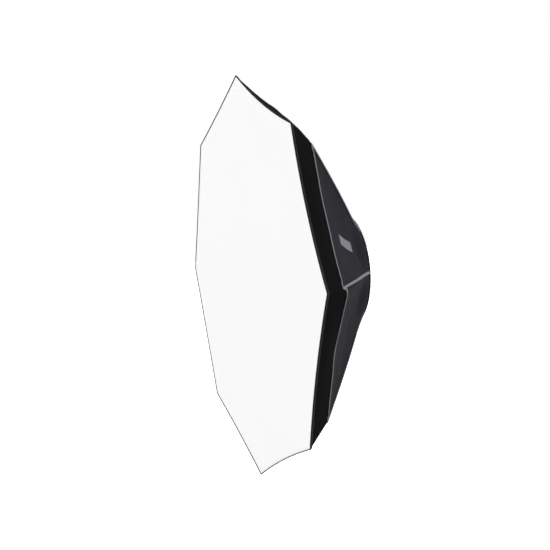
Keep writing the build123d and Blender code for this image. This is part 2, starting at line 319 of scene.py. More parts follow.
def part_grid(part, r, cols):
    """u on a grid with one row for each corner radius in r: over the strip for the middle
    part, or from the strip's edge to the middle of the bay for a side part."""
    edge = np.minimum(strip_half(r) / (r * SHARE_OFF), 1.0)[:, None]
    if PARTS[part] == 0:
        return edge * np.linspace(-1, 1, cols)
    across = edge + (1 - edge) * np.linspace(0, 1, cols)
    return across if PARTS[part] > 0 else -across[:, ::-1]


def close_up(piece, gore, part, first, last):
    """Rides on the gore's rod. For a side part it also works out the ends of the strip's edge,
    between two places (r, d), and the rod's sideways direction, and gives the part its own mesh."""
    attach(piece, f"rod_{gore}")
    side = PARTS[part]
    if side == 0:
        return piece
    ends = [chord(gore, side * strip_half(r) / (r * SHARE_OFF), r, d) for r, d in (first, last)]
    sideways = spot(turn_of(gore), 0.0, 0.0, 1.0)
    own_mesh(piece)
    return piece


def cut_size(part, near, far, strip=strip_half):
    """Width, length and area that a part is cut to, for cloth tight on a perfect octagon
    between two places (r, d) on the ridge. It comes from the frame's sizes alone and knows
    nothing of the drawn surface.

    Half a side is r sin(half) wide, the strip takes its half width over cos(half) of it, and
    the area is the mean width times the slant height in the middle of the bay."""
    r = np.linspace(near[0], far[0], 400)
    half_side = r * math.sin(HALF)
    taken = np.minimum(strip(r) / math.cos(HALF), half_side)
    width = 2 * taken if PARTS[part] == 0 else half_side - taken
    rise = far[1] - near[1]
    slant = math.hypot((far[0] - near[0]) * math.cos(HALF), rise)
    share = 1.0 if PARTS[part] == 0 else float((width > 0).mean())
    length = math.hypot(far[0] - near[0], rise) * share
    return float(width.max()), length, float(width.mean()) * slant


print("strip half width at hem and seam:", strip_half(np.array([OPEN_R, seam_r])).round(4))

# %% [markdown]
# ## Materials
#
# Woven cloth is the main finish. One node group makes the weave: two sets of threads, as sine
# waves along U and V, that pass over and under each other, with a stronger thread every few
# millimetres and a soft unevenness in tone. It puts out a height for a bump and a shade for
# the colour, and each cloth uses it with its own thread size and strength. The shade is the
# random tone plus painted light: the thread on top and the thicker rib threads are lighter,
# a painted highlight, and the threads underneath are darker, painted shade between the threads.

# %% The weave group
def new_group(name, inputs, outputs):
    """Empty shader node group with float inputs and outputs: {name: default}."""
    group = bpy.data.node_groups.new(name, "ShaderNodeTree")
    for key, value in inputs.items():
        socket = group.interface.new_socket(key, in_out="INPUT", socket_type="NodeSocketFloat")
        socket.default_value = value
    for key in outputs:
        group.interface.new_socket(key, in_out="OUTPUT", socket_type="NodeSocketFloat")
    return group, group.nodes.new("NodeGroupInput"), group.nodes.new("NodeGroupOutput")


class Maths:
    """Short way to chain Math nodes in one node tree."""

    def __init__(self, tree):
        self.tree = tree

    def __call__(self, operation, *values):
        """One Math node. A value is a number or another node's output."""
        node = self.tree.nodes.new("ShaderNodeMath")
        node.operation = operation
        for socket, value in zip(node.inputs, values):
            if isinstance(value, (int, float)):
                socket.default_value = value
            else:
                self.tree.links.new(value, socket)
        return node.outputs[0]


def noise(tree, vector, scale, detail=3.0, roughness=0.55):
    """Noise texture's 0 to 1 output."""
    node = tree.nodes.new("ShaderNodeTexNoise")
    node.inputs["Detail"].default_value = detail
    node.inputs["Roughness"].default_value = roughness
    tree.links.new(vector, node.inputs["Vector"])
    if isinstance(scale, (int, float)):
        node.inputs["Scale"].default_value = scale
    else:
        tree.links.new(scale, node.inputs["Scale"])
    return node.outputs["Fac"]


def make_weave_group():
    """Plain weave. Warp is |sin| along U and weft |sin| along V; the sign of the product of
    two half-pitch waves says which is on top. Every so many threads one is thicker."""
    group, given, out = new_group(
        "plain_weave", {"Threads per metre": 1400.0, "Rib every": 9.0, "Rib": 0.4},
        ["Height", "Shade"],
    )
    maths = Maths(group)
    coordinates = group.nodes.new("ShaderNodeTexCoord")
    parts = group.nodes.new("ShaderNodeSeparateXYZ")
    group.links.new(coordinates.outputs["UV"], parts.inputs[0])
    threads = given.outputs["Threads per metre"]
    turns = maths("MULTIPLY", threads, math.pi)
    u = maths("MULTIPLY", parts.outputs["X"], turns)
    v = maths("MULTIPLY", parts.outputs["Y"], turns)
    warp = maths("ABSOLUTE", maths("SINE", u))
    weft = maths("ABSOLUTE", maths("SINE", v))
    over = maths("GREATER_THAN", maths("MULTIPLY", maths("SINE", u), maths("SINE", v)), 0.0)
    low = maths("MULTIPLY", maths("SUBTRACT", 1.0, over), weft)
    threads_height = maths("ADD", maths("MULTIPLY", over, warp), low)
    share = maths("DIVIDE", 1.0, given.outputs["Rib every"])
    rib_u = maths("POWER", maths("ABSOLUTE", maths("COSINE", maths("MULTIPLY", u, share))), 24.0)
    rib_v = maths("POWER", maths("ABSOLUTE", maths("COSINE", maths("MULTIPLY", v, share))), 24.0)
    rib = maths("MULTIPLY", maths("MAXIMUM", rib_u, rib_v), given.outputs["Rib"])
    group.links.new(maths("ADD", threads_height, rib), out.inputs["Height"])
    object_place = coordinates.outputs["Object"]
    slubs = noise(group, object_place, 420.0, 2.0)
    clouds = noise(group, object_place, 9.0, 4.0)
    tone = maths("ADD", maths("MULTIPLY", slubs, 0.6), maths("MULTIPLY", clouds, 0.4))
    # The colour's shade: random tone, plus painted light from the thread height (lighter thread
    # tops, darker hollows) and a painted highlight on the ribs.
    shade = maths("ADD", maths("MULTIPLY", tone, 0.7), maths("MULTIPLY", threads_height, 0.3))
    group.links.new(maths("ADD", shade, maths("MULTIPLY", rib, 0.35)), out.inputs["Shade"])
    return group


weave_group = make_weave_group()
print("weave group nodes:", len(weave_group.nodes))

# %% [markdown]
# A finish is built in the same order each time: a shade from 0 to 1 goes through a colour ramp
# into the base colour, and a height goes through a Bump node into the normal. Sheen, which is
# the pale bloom that cloth shows at a grazing angle, is a plain number on the shader itself.

# %% Finish helpers
def new_finish(name, **plain):
    """Material with a Principled shader whose named sockets are set to plain values."""
    material = bpy.data.materials.new(name)
    material.use_nodes = True
    shader = material.node_tree.nodes["Principled BSDF"]
    for key, value in plain.items():
        shader.inputs[key.replace("_", " ")].default_value = value
    return material, material.node_tree, shader


def colour_between(tree, shade, dark, light, low=0.25, high=0.75):
    """Colour ramp from dark to light as shade goes from low to high."""
    ramp = tree.nodes.new("ShaderNodeValToRGB")
    ramp.color_ramp.elements[0].position = low
    ramp.color_ramp.elements[1].position = high
    ramp.color_ramp.elements[0].color = (*dark, 1)
    ramp.color_ramp.elements[1].color = (*light, 1)
    tree.links.new(shade, ramp.inputs[0])
    return ramp.outputs[0]


def bump(tree, shader, height, distance, strength=1.0):
    """Bump of the given distance in metres on the shader's normal."""
    node = tree.nodes.new("ShaderNodeBump")
    node.inputs["Distance"].default_value = distance
    node.inputs["Strength"].default_value = strength
    tree.links.new(height, node.inputs["Height"])
    tree.links.new(node.outputs[0], shader.inputs["Normal"])


def cloth_finish(name, dark, light, threads, rib_every, rib, depth, **plain):
    """Woven cloth: the weave group's shade, which holds painted shade and highlights of the
    threads, colours it and its height bumps it.
    """
    material, tree, shader = new_finish(name, **plain)
    weave = tree.nodes.new("ShaderNodeGroup")
    weave.node_tree = weave_group
    weave.inputs["Threads per metre"].default_value = threads
    weave.inputs["Rib every"].default_value = rib_every
    weave.inputs["Rib"].default_value = rib
    colour = colour_between(tree, weave.outputs["Shade"], dark, light)
    tree.links.new(colour, shader.inputs["Base Color"])
    bump(tree, shader, weave.outputs["Height"], depth)
    return material


def grey(value, blue=0.0):
    """A linear grey with a little blue."""
    return (value, value * (1 - 0.4 * blue), value * (1 + blue))


# %% Cloth finishes
shell_cloth = cloth_finish(
    "shell_cloth", grey(0.004, 0.35), grey(0.013, 0.35), 1300.0, 8.0, 0.5, 0.00012,
    Roughness=0.8, Specular_IOR_Level=0.12, Sheen_Weight=0.02, Sheen_Roughness=0.4,
)
band_cloth = cloth_finish(
    "band_cloth", grey(0.0012, 0.15), grey(0.0035, 0.15), 2200.0, 12.0, 0.0, 0.00005,
    Roughness=0.9, Specular_IOR_Level=0.05, Sheen_Weight=0.004,
)
white_cloth = cloth_finish(
    "white_cloth", grey(0.93), grey(0.965), 1800.0, 10.0, 0.2, 0.00004,
    Roughness=0.85, Specular_IOR_Level=0.2,
)
silver_cloth = cloth_finish(
    "silver_cloth", grey(0.55), grey(0.8), 1500.0, 6.0, 0.6, 0.0001,
    Roughness=0.32, Metallic=0.85,
)
binding_tape = cloth_finish(
    "binding_tape", grey(0.11, 0.12), grey(0.25, 0.12), 1700.0, 3.0, 0.3, 0.00015,
    Roughness=0.6, Specular_IOR_Level=0.3, Sheen_Weight=0.1,
)
edge_tape = cloth_finish(
    "edge_tape", grey(0.003, 0.1), grey(0.009, 0.1), 1700.0, 3.0, 0.3, 0.00012,
    Roughness=0.75, Specular_IOR_Level=0.2, Sheen_Weight=0.02,
)
cuff_cloth = cloth_finish(
    "cuff_cloth", grey(0.006, 0.35), grey(0.016, 0.35), 900.0, 2.0, 0.5, 0.00025,
    Roughness=0.85, Specular_IOR_Level=0.12, Sheen_Weight=0.02,
)
label_cloth = cloth_finish(
    "label_cloth", grey(0.12, 0.1), grey(0.24, 0.1), 2400.0, 4.0, 0.3, 0.00008,
    Roughness=0.6, Specular_IOR_Level=0.3,
)
print("cloth finishes:", 8)

# %% [markdown]
# ## The rear shell
#
# The charcoal shell is the back of the softbox. It is stretched from the hem round the ring to
# the seam behind the front band, so it is nearly flat from rod to rod, pulled in a few
# millimetres where no rod holds it. Close to the ring the hem is drawn round by its elastic.
# The surface is the chord formula with r and d walking from hem to seam, plus a hollow that is
# greatest half-way, plus short creases beside the rods, where the pull is greatest. The sprung
# rods bow, so the ridge over each rod stands out a little in the middle of its length.

# %% Rear shell
SHELL_THICK = 0.5 * MM
SHELL_HOLLOW = 4.0 * MM
RIDGE_BOW = 1.6 * MM
HEM_ROUND_R = ring_r + 8.6 * MM
HEM_ROUND_D = hem_d - 1.2 * MM
HEM_ROUND_OVER = 0.22
HEM_HELD = 18.0 * MM
SLACK_GORE = 7
SLACK = 6.0 * MM
slope = unit(np.array([seam_r - hem_r, seam_d - hem_d]))
band_slope = unit(np.array([front_r - seam_r, front_d - seam_d]))


def inward(direction):
    """The (r, d) direction at a right angle to a slope that points into the softbox."""
    return np.array([-direction[1], direction[0]])


def ridge_depth(r):
    """Depth of the straight line from hem to seam at corner radius r."""
    return hem_d + (r - hem_r) * slope[1] / slope[0]


SHELL_EDGE = [(r, ridge_depth(r)) for r in (OPEN_R, seam_r)]
SLACK_FROM = 0.03


def seam_depth(gore, u):
    """Depth of the seam. On the low side of one rod slack cloth lets the seam fall back, and
    the slack dies out as (1 - u squared) squared."""
    slack = SLACK * (1 - u**2) ** 2 * np.clip(-u / SLACK_FROM, 0, 1)
    return seam_d - slack * (gore == SLACK_GORE)


def creases(u, fade, reach, pitch, height):
    """Creases beside the rod: sine waves across u that die out away from the rod."""
    far = np.abs(u)
    waves = np.sin(far * pitch) * np.sin(far * pitch * 0.37 + 0.8)
    return height * waves * np.exp(-far / reach) * fade


def shell_points(gore, u, v, depth=0.0):
    """Rear cloth of one gore, moved in by depth along its own slope's normal. Near the hem it
    passes smoothly into a cone round the ring."""
    into = inward(slope)
    hollow = SHELL_HOLLOW * np.sin(math.pi * v) * bay_bow(u) + depth
    hollow = hollow - RIDGE_BOW * np.sin(math.pi * v) * (1 - bay_bow(u))
    hollow = hollow + creases(u, v**2, 0.22, 34.0, 0.7 * MM)
    r = hem_r + (seam_r - hem_r) * v
    d = hem_d + (seam_depth(gore, u) - hem_d) * v
    hollow = hollow + ripples(chord(gore, u, r, d), 3, 0.06, 0.5 * MM) * bay_bow(u)
    pull = bay_values(gore, u, SEAM_PULL) * v
    points = chord(gore, u, r + into[0] * hollow, d + into[1] * hollow, pull=pull)
    angle = np.arctan2(points[..., 2], points[..., 0])
    round_r, round_d = HEM_ROUND_R - into[1] * depth, HEM_ROUND_D + into[1] * depth
    climb = np.broadcast_to(v * (seam_r - hem_r) * math.cos(HALF) ** 2, angle.shape)
    x, z = (round_r + climb) * np.cos(angle), (round_r + climb) * np.sin(angle)
    ring = np.stack([x, -round_d - climb * slope[1] / slope[0], z], -1)
    share = np.clip(1 - np.broadcast_to(v, angle.shape) / HEM_ROUND_OVER, 0, 1)[..., None]
    share = share**2 * (3 - 2 * share)
    return points * (1 - share) + ring * share


def gore_rows(part, from_r, to_r, count):
    """Corner radii of a gore's rows; a side part has its pole where it parts from the strip."""
    return np.linspace(from_r if PARTS[part] == 0 else max(from_r, OPEN_R), to_r, count)


def hold_hem(piece, gore):
    """Bakes the piece's place into its mesh. The rod's points at the hem and HEM_HELD in front
    of it are worked out too.
    """
    start = spot(turn_of(gore), hem_r, hem_d)
    end = spot(turn_of(gore), hem_r + slope[0] * HEM_HELD, hem_d + slope[1] * HEM_HELD)
    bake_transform(piece)
    return piece


def shell_part(name, gore, part, thickness, finish, depth):
    """One part of a gore of the shell or its lining."""
    r = gore_rows(part, hem_r, seam_r, 49)
    u = part_grid(part, r, 25)
    points = shell_points(gore, u, ((r - hem_r) / (seam_r - hem_r))[:, None], depth)
    pole = PARTS[part] != 0
    piece = make_sheet(f"{name}_{gore}{part}", points, thickness, finish, pole=pole)
    if pole:
        close_up(piece, gore, part, *SHELL_EDGE)
    else:
        hold_hem(piece, gore)
    return piece


def shell_cut(part):
    """Size that a part of the shell or lining is cut to, from the hem to the seam."""
    return cut_size(part, (hem_r, hem_d), (seam_r, seam_d))


for gore in GORES:
    for part in PARTS:
        piece = shell_part("rear_shell", gore, part, SHELL_THICK, shell_cloth, 0.0)
        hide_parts(f"shell_panel_{gore}")
        shell_cut(part)
print("shell parts' cut width, length, area:", {part: shell_cut(part) for part in PARTS})

# %% [markdown]
# A small woven label without any lettering is sewn on one panel, beside the middle of its bay.
# It is a narrow strip of the shell's own surface, raised by its thickness.

# %% Blank label
LABEL_GORE = 7
LABEL_U = 0.84
LABEL_V = (0.34, 0.64)
LABEL_HALF_WIDTH = 6.5 * MM
LABEL_THICK = 0.45 * MM
v = np.linspace(*LABEL_V, 25)[:, None]
corner_r = hem_r + (seam_r - hem_r) * v
u = LABEL_U + LABEL_HALF_WIDTH / (corner_r * SHARE_OFF) * np.linspace(-1, 1, 9)
label_points = shell_points(LABEL_GORE, u, v, -LABEL_THICK)
label = make_sheet("woven_label", label_points, LABEL_THICK, label_cloth)
close_up(label, LABEL_GORE, "_right", *SHELL_EDGE)

# %% [markdown]
# ## The silver lining
#
# Inside the shell lies a thin cloth with a silver coat, which throws the light forward. It is
# the shell's own formula moved inwards by the two cloths' gap.

# %% Silver lining
LINING_IN = 1.2 * MM
LINING_THICK = 0.15 * MM
for gore in GORES:
    for part in PARTS:
        piece = shell_part("silver_lining", gore, part, LINING_THICK, silver_cloth, LINING_IN)
        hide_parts("silver_lining")
        shell_cut(part)
print("lining parts:", SIDES * len(PARTS))

# %% [markdown]
# ## The front band
#
# The band of plain matte cloth closes the box between the seam and the diffuser. It hangs
# between two pulled-in edges and stands a little full between them, and small pleats stand
# beside each rod, where the corner pocket bunches it.

# %% Front band
BAND_THICK = 0.5 * MM
BAND_FULL = 1.4 * MM


def band_points(gore, u, v):
    """Band cloth: the chord from seam to front edge, bulging a little between them."""
    into = inward(band_slope)
    pleats = creases(u, np.sqrt(np.sin(math.pi * np.clip(v, 0, 1))), 0.16, 52.0, 1.1 * MM)
    full = pleats - BAND_FULL * np.sin(math.pi * v) * bay_bow(u)
    back_d = seam_depth(gore, u)
    r = seam_r + (front_r - seam_r) * v + into[0] * full
    d = back_d + (front_d - back_d) * v + into[1] * full
    edge_pull = bay_values(gore, u, EDGE_PULL)
    seam_pull = bay_values(gore, u, SEAM_PULL)
    return chord(gore, u, r, d, pull=seam_pull + (edge_pull - seam_pull) * v)


for gore in GORES:
    for part in PARTS:
        r = gore_rows(part, seam_r, front_r, 17)
        u = part_grid(part, r, 33)
        points = band_points(gore, u, ((r - seam_r) / (front_r - seam_r))[:, None])
        piece = make_sheet(f"front_band_cloth_{gore}{part}", points, BAND_THICK, band_cloth)
        close_up(piece, gore, part, (seam_r, seam_d), (front_r, front_d))
        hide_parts(f"front_band_{gore}")
        band_cut = cut_size(part, (seam_r, seam_d), (front_r, front_d))
print("band parts:", SIDES * len(PARTS))

# %% [markdown]
# ## The diffuser
#
# The white diffuser is one stretched octagon. Stretched cloth isn't a plate: it dishes in by
# a few millimetres, and faint folds run from each corner inwards. Its middle stays with the
# ring when the rods fold, and a strip and two side parts for each rod go in with the rod, as
# the slack cloth is drawn into a funnel.

# %% Diffuser
DIFFUSER_THICK = 0.35 * MM
DISH = 2.0 * MM
middle_r = strip_half(seam_r) / SHARE_OFF


def diffuser_strip(r):
    """Half width of a diffuser's strip, which doesn't taper."""
    return np.full_like(r, strip_half(seam_r))


def diffuser_points(gore, u, v):
    """Diffuser cloth at corner radius R v: the edge's pull grows as v cubed, a dish of
    (1 - v squared) and folds that fan out of the corner."""
    beside = 0.4 * u * v
    from_tip = np.hypot(1 - v, beside)
    folds = np.sin(np.arctan2(beside, 1 - v + 0.02) * 9.0)
    folds = folds * from_tip * np.exp(-from_tip / 0.12) * 5.0 * MM
    d = front_d + DISH * (v**2 - 1) + folds * (1 - v**8) * v
    return chord(gore, u, front_r * v, d, pull=bay_values(gore, u, EDGE_PULL) * v**3)


for gore in GORES:
    for part in PARTS:
        r = np.linspace(middle_r, front_r, 41)
        if PARTS[part] == 0:
            u = np.minimum(middle_r / r, 1.0)[:, None] * np.linspace(-1, 1, 25)
        else:
            across = (middle_r / r)[:, None] * (1 - np.linspace(0, 1, 25)) + np.linspace(0, 1, 25)
            u = across if PARTS[part] > 0 else -across[:, ::-1]
        points = diffuser_points(gore, u, (r / front_r)[:, None])
        piece = make_sheet(
            f"diffuser_{gore}{part}", points, DIFFUSER_THICK, white_cloth,
            pole=PARTS[part] != 0, flip=True,
        )
        close_up(piece, gore, part, (seam_r, front_d), (front_r, front_d))
        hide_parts("front_diffuser")
        diffuser_cut = cut_size(part, (middle_r, 0), (front_r, 0), diffuser_strip)
    inner = np.linspace(0, 1, 17)[:, None]
    u = np.linspace(-1, 1, 17)[None, :]
    points = diffuser_points(gore, u, inner * middle_r / front_r)
    piece = make_sheet(
        f"diffuser_middle_{gore}", points, DIFFUSER_THICK, white_cloth, pole=True, flip=True
    )
    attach(piece, "ring")
    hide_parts("front_diffuser")
    cut_size("", (0, 0), (middle_r, 0), diffuser_strip)
print("diffuser parts:", SIDES * (len(PARTS) + 1))

# %% [markdown]
# ## Tapes
#
# Every seam is covered by a woven tape: over each rod, round the seam and round the front
# edge. A tape is a profile carried along a path: for each point of the path there is a side
# direction, across the tape, and an up direction, off the cloth.

# %% Carrying a profile
def carry(path, side, up, profile):
    """Grid of points: path (n, 3) + side * profile's first number + up * its second."""
    first = profile[None, :, 0, None] * side[:, None]
    second = profile[None, :, 1, None] * up[:, None]
    return path[:, None] + first + second


def arched(width, rise, foot, count=13, fall=0.0):
    """Profile of a tape that is arched by rise, stands foot off the cloth at its edges and
    falls away on both sides of the middle by fall per metre."""
    w = np.linspace(-1, 1, count)
    drop = fall * np.sqrt((w * width / 2) ** 2 + (0.3 * MM) ** 2)
    return np.stack([w * width / 2, foot + rise * (1 - w**2) ** 0.6 - drop], -1)


def frame_along(path, outward):
    """Side and up directions along a path, where outward roughly points off the cloth."""
    along = unit(np.gradient(path, axis=0))
    side = unit(np.cross(outward, along))
    return along, side, unit(np.cross(along, side))


def make_tape(name, path, outward, profile, finish):
    """Tape along a path, with its thickness grown inwards."""
    _, side, up = frame_along(path, outward)
    piece = make_sheet(name, carry(path, side, up, profile), TAPE_THICK, finish, flip=True)
    return piece


def away(turn, direction):
    """Direction off the cloth, at a right angle to an (r, d) slope, for one rod."""
    into = inward(direction)
    return spot(turn, -into[0], -into[1])


# %% Tapes over the rods and the seam
TAPE_THICK = 0.4 * MM
RIB_WIDTH = 4.6 * MM
RIB_FALL = math.tan(HALF) * slope[1]
SEAM_TAPE_WIDTH = 4.6 * MM
SEAM_TAPE_BACK = 1.0 * MM


def seam_path(gore, part, count=31):
    """Line of the seam across one part of a gore, a little back along the shell."""
    u = part_grid(part, np.array([seam_r]), count)[0]
    share = 1 - SEAM_TAPE_BACK / (seam_r - hem_r)
    return shell_points(gore, u[None, :], np.full((1, count), share))[0]


def rib_path(gore, count=71):
    """Line along the rod's ridge, from the hem to the seam."""
    return shell_points(gore, np.zeros((count, 1)), np.linspace(0.012, 0.985, count)[:, None])[:, 0]


for gore in GORES:
    out = away(turn_of(gore), slope)
    profile = arched(RIB_WIDTH, 0.7 * MM, 0.35 * MM, fall=RIB_FALL)
    rib = make_tape(f"rib_tape_{gore}", rib_path(gore), out, profile, binding_tape)
    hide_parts("rib_binding")
    hold_hem(rib, gore)
    for part in PARTS:
        profile = arched(SEAM_TAPE_WIDTH, 0.8 * MM, 0.25 * MM)
        path = seam_path(gore, part)
        name = f"seam_tape_{gore}{part}"
        seam = make_tape(name, path, out, profile, binding_tape)
        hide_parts("seam_binding")
        close_up(seam, gore, part, *SHELL_EDGE)
print("tapes over ribs and seam:", SIDES * (1 + len(PARTS)))

# %% [markdown]
# The front edge is bound by a dark tape that is folded round it: one short leg lies on the
# diffuser, the other on the band. Its profile is a leg, an arc of small radius and a leg.

# %% Edge tape
FRONT_LEG = 0.2 * MM
BACK_LEG = 3.0 * MM
EDGE_BEND = 0.6 * MM


def folded_profile(count=7):
    """Centre line of a folded tape in (r, d), as offsets from the front edge: in along the
    diffuser, round the edge and back along the band."""
    lay = 0.15 * MM
    bend = math.pi - math.atan2(band_slope[0], band_slope[1])
    turn = np.linspace(math.pi / 2, math.pi / 2 - bend, count)
    arc = EDGE_BEND * np.stack([np.cos(turn), np.sin(turn)], -1)
    arc = arc + np.array([-0.1 * MM, lay])
    leg = np.linspace(1, 0, 4)[:-1, None]
    front_leg = arc[0] + leg * np.array([-FRONT_LEG, 0])
    back_leg = arc[-1] - leg[::-1] * BACK_LEG * band_slope
    return np.concatenate([front_leg, arc, back_leg])


def edge_points(gore, part, cols=31):
    """Folded tape round one part of a gore's front edge: the profile added to the edge."""
    profile = folded_profile()
    u = part_grid(part, np.array([front_r]), cols)
    r, d = front_r + profile[:, :1], front_d + profile[:, 1:]
    return chord(gore, u, r, d, pull=bay_values(gore, u, EDGE_PULL))


for gore in GORES:
    for part in PARTS:
        name = f"edge_tape_{gore}{part}"
        piece = make_sheet(name, edge_points(gore, part), TAPE_THICK, edge_tape)
        close_up(piece, gore, part, (seam_r, seam_d), (front_r, front_d))
        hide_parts("edge_binding")
print("edge tapes:", SIDES * len(PARTS))

# %% [markdown]
# ## Stitches
#
# Lockstitch shows as short, fat dashes along both sides of each tape. There are thousands, so
# each is a capsule of only a few faces, and one mesh holds the stitches of one tape.

# %% Stitches
STITCH = 2.4 * MM
STITCH_PITCH = 3.4 * MM
STITCH_R = 0.26 * MM
STITCH_OFF_RIB = 1.7 * MM
STITCH_OFF_SEAM = 1.7 * MM
grey_thread, _, _ = new_finish("grey_thread", Base_Color=(0.17, 0.165, 0.18, 1), Roughness=0.6)


def stitch_row(path, outward, off_side, off_up):
    """Centres, directions, sides and ups of evenly spaced stitches beside a path."""
    walked = np.concatenate([[0], np.cumsum(np.linalg.norm(np.diff(path, axis=0), axis=1))])
    count = int(walked[-1] / STITCH_PITCH)
    places = (np.arange(count) + 0.5) * walked[-1] / count
    along, side, up = frame_along(path, outward)
    line = path + side * off_side + up * off_up

    def pick(values):
        """Values at the stitches' places."""
        return np.stack([np.interp(places, walked, values[:, k]) for k in range(3)], -1)

    return pick(line), unit(pick(along)), unit(pick(side)), unit(pick(up))


def make_stitches(name, path, outward, off_side, off_up):
    """One mesh of capsules on both sides of a path: rings of four points along each stitch,
    closed by two end points."""
    rows = [stitch_row(path, outward, side * off_side, off_up) for side in (-1, 1)]
    centre, along, side, up = (np.concatenate([row[k] for row in rows]) for k in range(4))
    ring_at = np.array([-0.42, -0.2, 0.2, 0.42]) * STITCH
    ring_r = np.array([0.6, 1.0, 1.0, 0.6]) * STITCH_R
    angle = np.arange(4) * math.pi / 2 + math.pi / 4
    a = ring_at[:, None, None] * along[:, None, None]
    b = (ring_r[:, None] * np.cos(angle))[..., None] * side[:, None, None]
    c = (ring_r[:, None] * np.sin(angle))[..., None] * up[:, None, None]
    rings = (centre[:, None, None] + a + b + c).reshape(len(centre), 16, 3)
    tips = centre[:, None] + np.array([-0.5, 0.5])[None, :, None] * STITCH * along[:, None]
    points = np.concatenate([rings, tips], axis=1).reshape(-1, 3)
    k = np.arange(4)
    n = (k + 1) % 4
    walls = [np.stack([i * 4 + k, i * 4 + n, i * 4 + 4 + n, i * 4 + 4 + k], -1) for i in range(3)]
    ends = [np.stack([n, k, 0 * k + 16], -1), np.stack([12 + k, 12 + n, 0 * k + 17], -1)]
    start = (np.arange(len(centre)) * 18)[:, None, None]
    faces = (np.concatenate(walls) + start).reshape(-1, 4).tolist()
    faces += (np.concatenate(ends) + start).reshape(-1, 3).tolist()
    piece = new_piece(name, points, faces, points[:, :2], grey_thread)
    return piece


for gore in GORES:
    out = away(turn_of(gore), slope)
    name = f"rib_stitches_{gore}"
    hold_hem(make_stitches(name, rib_path(gore), out, STITCH_OFF_RIB, 0.35 * MM), gore)
    for part in PARTS:
        name = f"seam_stitches_{gore}{part}"
        piece = make_stitches(name, seam_path(gore, part), out, STITCH_OFF_SEAM, 0.7 * MM)
        close_up(piece, gore, part, *SHELL_EDGE)
print("stitch meshes:", SIDES * (1 + len(PARTS)))

# %% [markdown]
# ## Inner baffle, straps and snaps
#
# A second, smaller white cloth hangs half-way inside, in front of the flash tube, on eight
# straps. Its corners are in the middle of the bays. Its middle stays with the ring when the
# rods fold, and the rest goes in with the rods.

# %% Baffle
STRAP_WIDTH = 10.0 * MM
STRAP_THICK = 0.9 * MM
STRAP_SHORT = 15.0 * MM
STRAP_LAP = 12.0 * MM
SNAP_R = 5.0 * MM
BAFFLE_THICK = 0.35 * MM
BAFFLE_SAG = 1.5 * MM
BAFFLE_MIDDLE = 0.42
baffle_r = baffle_side / math.cos(HALF)
baffle_mid = (depth_range("inner_baffle")[1] + baffle_d) / 2
strap_d = sum(depth_range("baffle_straps")) / 2
strap_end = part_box("baffle_straps")[1][0] - STRAP_WIDTH / 2 * math.sin(HALF)
strap_to = strap_end / math.cos(HALF) - STRAP_SHORT
strap_from = baffle_r - STRAP_LAP
snap_from, snap_to = depth_range("strap_snaps")


def baffle_points(gore, u, v):
    """Part of one triangle of the baffle: r = R cos(half) v and t = R sin(half) u v, sagging
    between its straps by a few millimetres."""
    r = baffle_r * math.cos(HALF) * v * (1 - 0.03 * (1 - u**2) * v**2)
    t = baffle_r * math.sin(HALF) * v * u
    d = baffle_mid + BAFFLE_SAG * np.sin(math.pi * v) * (1 - u**2)
    return spot(turn_of(gore), r, d, t)


def strap_points(gore, rows=15, cols=7):
    """Flat strap along the middle of the bay after the rod, from baffle to lining."""
    w, v = np.linspace(-1, 1, cols)[None, :], np.linspace(0, 1, rows)[:, None]
    r = strap_from + (strap_to - strap_from) * v
    d = strap_d + 0.4 * MM * np.sin(v * math.pi * 3)
    return spot(turn_of(gore) + HALF, r, d, w * STRAP_WIDTH / 2)


def go_in(piece, gore):
    """Rides on the rod and gets its own mesh; the rod's sideways direction is worked out too."""
    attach(piece, f"rod_{gore}")
    sideways = spot(turn_of(gore), 0.0, 0.0, 1.0)
    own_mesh(piece)
    return piece


for gore in GORES:
    u = np.linspace(-1, 1, 25)[None, :]
    outer = baffle_points(gore, u, np.linspace(BAFFLE_MIDDLE, 1, 17)[:, None])
    middle = baffle_points(gore, u, np.linspace(0, BAFFLE_MIDDLE, 13)[:, None])
    piece = make_sheet(f"inner_baffle_{gore}", outer, BAFFLE_THICK, white_cloth, flip=True)
    centre = make_sheet(
        f"baffle_middle_{gore}", middle, BAFFLE_THICK, white_cloth, pole=True, flip=True
    )
    strap = make_sheet(
        f"baffle_strap_{gore}", strap_points(gore), STRAP_THICK, edge_tape, flip=True
    )
    go_in(piece, gore)
    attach(centre, "ring")
    go_in(strap, gore)
    for cloth in (piece, centre):
        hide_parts("inner_baffle")
    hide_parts("baffle_straps")
print("baffle parts and straps:", 3 * SIDES)

# %% [markdown]
# ## Turned pieces
#
# Snaps, pocket cups and the cuff are turned shapes: a profile of (radius, height) points that
# goes round an axis. The same function serves all three.

# %% Turned shapes
def turned(name, centre, axis, profile, segments, finish, wave=None):
    """Profile (n, 2) of radius and height, turned about an axis through centre. Its ends meet
    or lie on the axis. With wave, radius is scaled by wave(angle, share along the profile)."""
    axis = unit(np.asarray(axis, float))
    helper = np.array([0.0, 0.0, 1.0]) if abs(axis[2]) < 0.9 else np.array([1.0, 0.0, 0.0])
    one = unit(np.cross(helper, axis))
    two = np.cross(axis, one)
    angle = np.arange(segments) * 2 * math.pi / segments
    share = np.linspace(0, 1, len(profile))
    radius = np.broadcast_to(profile[:, :1], (len(profile), segments))
    if wave is not None:
        radius = radius * wave(angle[None, :], share[:, None])
    ring = np.cos(angle)[None, :, None] * one + np.sin(angle)[None, :, None] * two
    points = centre + radius[..., None] * ring + profile[:, 1][:, None, None] * axis
    walked = np.concatenate([[0], np.cumsum(np.linalg.norm(np.diff(profile, axis=0), axis=1))])
    across = angle[None, :] * profile[:, :1].mean()
    uv = np.stack(np.broadcast_arrays(across, walked[:, None]), -1).reshape(-1, 2)
    here = np.arange(len(profile) * segments).reshape(len(profile), segments)
    there = np.roll(here, -1, axis=1)
    quads = np.stack([here[:-1], there[:-1], there[1:], here[1:]], -1).reshape(-1, 4)
    return new_piece(name, points.reshape(-1, 3), quads.tolist(), uv, finish)


